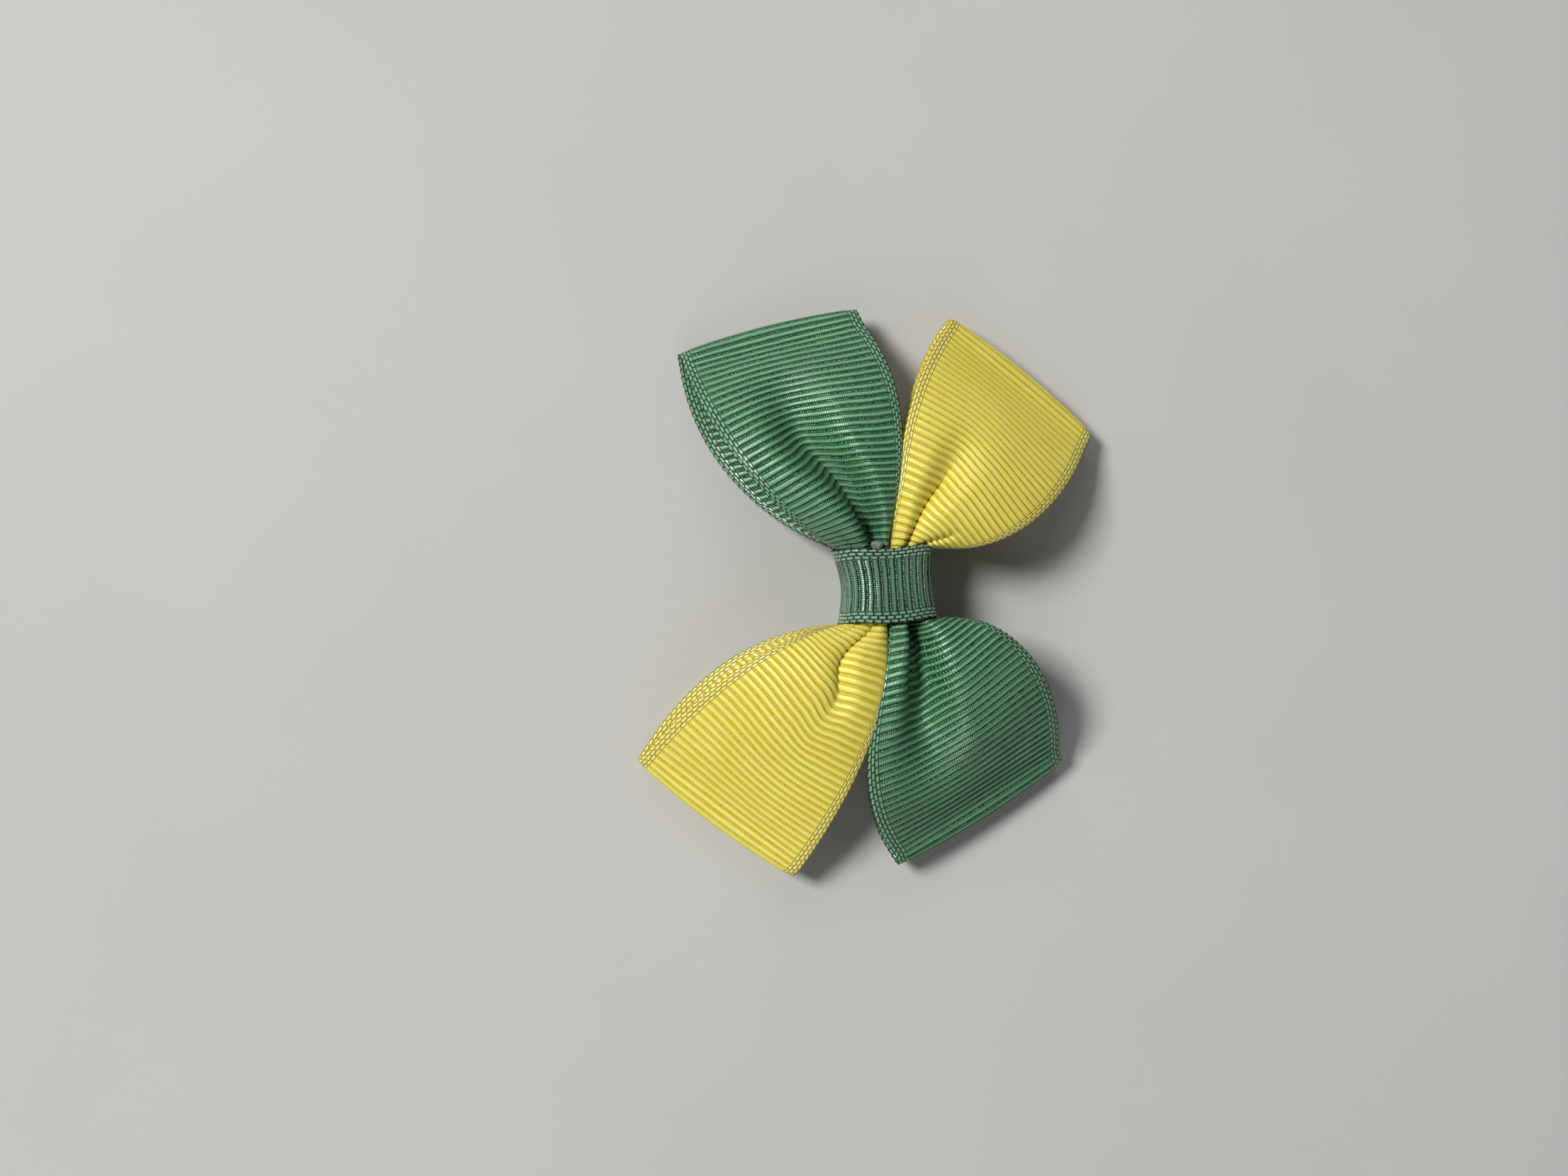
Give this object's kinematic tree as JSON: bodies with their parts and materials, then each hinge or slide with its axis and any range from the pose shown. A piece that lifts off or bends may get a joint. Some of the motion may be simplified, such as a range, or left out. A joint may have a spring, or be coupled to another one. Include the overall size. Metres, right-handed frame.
{
  "type": "cheer hair bow",
  "caption": "Small two-colour hair bow of crossed grosgrain ribbon loops, pinched by a ribbon wrap on a sprung alligator clip.",
  "frame": {"origin": "middle of the bow's box in plan, on the surface it lies on", "axes": "+Y along the bow's long axis towards the clip's tip, +Z out of the bow's face, +X to the right seen from the face"},
  "size_m": [0.0605, 0.0738, 0.0149],
  "materials": {
    "green_ribbon": "satin ribbed grosgrain",
    "yellow_ribbon": "satin ribbed grosgrain",
    "wrap_ribbon": "satin ribbed grosgrain",
    "thread": "twisted polyester",
    "glue": "cloudy set hot-melt glue",
    "clip_steel": "nickel plated, lightly scratched",
    "pin_steel": "plain steel",
    "spring_steel": "oiled spring wire"
  },
  "bodies": {
    "bow": {"green_loop": "green_ribbon", "yellow_loop": "yellow_ribbon", "binding_thread": "thread", "knot_wrap": "wrap_ribbon", "wrap_glue_bead": "glue", "clip_glue": "glue", "clip_upper_arm": "clip_steel", "clip_hinge_pin": "pin_steel", "clip_spring": "spring_steel"},
    "jaw": {"clip_lower_jaw": "clip_steel"}
  },
  "joints": [
    {"name": "jaw_hinge", "type": "hinge", "parent": "bow", "child": "jaw", "pos_m": [0.0008, -0.0078, 0.0043], "axis": [-1, 0, 0], "range_deg": [0, 28], "stiffness_Nm_per_rad": 0.02, "springref_deg": -28.65, "deforming": ["clip_spring"]}
  ]
}
